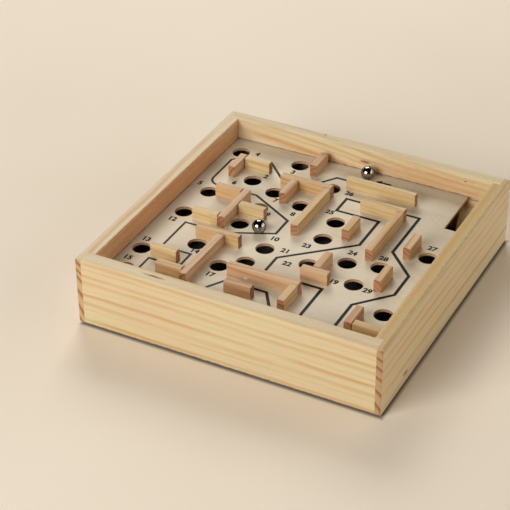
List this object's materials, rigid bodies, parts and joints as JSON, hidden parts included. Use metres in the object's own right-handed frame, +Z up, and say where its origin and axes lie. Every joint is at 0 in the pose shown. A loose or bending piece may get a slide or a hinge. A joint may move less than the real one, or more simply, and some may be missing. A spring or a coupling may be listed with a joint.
{
  "type": "wooden tilt maze game",
  "caption": "Square pine tray game: a drilled playing board in a walled box, with glued wooden barriers, steel balls that roll in the lanes, and a ball return slot over a ramp.",
  "frame": {"origin": "middle of the box's underside, at the height of the wall feet", "axes": "+Z up out of the tray, +X to the player's right, +Y away from the player; the front wall is at -Y"},
  "size_m": [0.2018, 0.2018, 0.0477],
  "materials": {
    "pine_wall": "sanded, clear lacquer",
    "base_hardboard": "pressed, dark brown, smooth side up",
    "board_plywood": "sanded, printed in black",
    "pine_ramp": "sawn, bare",
    "barrier_beech": "planed, bare",
    "polished_steel": "mirror polished"
  },
  "bodies": {
    "box": {"front_wall": "pine_wall", "back_wall": "pine_wall", "left_wall": "pine_wall", "right_wall": "pine_wall", "base_board": "base_hardboard", "playing_board": "board_plywood", "ball_return_ramp": "pine_ramp", "barrier_01": "barrier_beech", "barrier_02": "barrier_beech", "barrier_03": "barrier_beech", "barrier_04": "barrier_beech", "barrier_05": "barrier_beech", "barrier_06": "barrier_beech", "barrier_07": "barrier_beech", "barrier_08": "barrier_beech", "barrier_09": "barrier_beech", "barrier_10": "barrier_beech", "barrier_11": "barrier_beech", "barrier_12": "barrier_beech", "barrier_13": "barrier_beech", "barrier_14": "barrier_beech", "barrier_15": "barrier_beech", "barrier_16": "barrier_beech", "barrier_17": "barrier_beech", "barrier_18": "barrier_beech", "barrier_19": "barrier_beech", "barrier_20": "barrier_beech", "barrier_21": "barrier_beech", "barrier_22": "barrier_beech", "barrier_23": "barrier_beech", "barrier_24": "barrier_beech", "barrier_25": "barrier_beech", "barrier_26": "barrier_beech", "barrier_27": "barrier_beech"},
    "start_ball": {"start_ball": "polished_steel"},
    "second_ball": {"second_ball": "polished_steel"}
  },
  "joints": [
    {"name": "start_ball_roll", "type": "slide", "parent": "box", "child": "start_ball", "axis": [1, 0, 0], "range_m": [-0.026, 0.066]},
    {"name": "second_ball_roll", "type": "slide", "parent": "box", "child": "second_ball", "axis": [1, 0, 0], "range_m": [-0.0105, 0.057]}
  ]
}
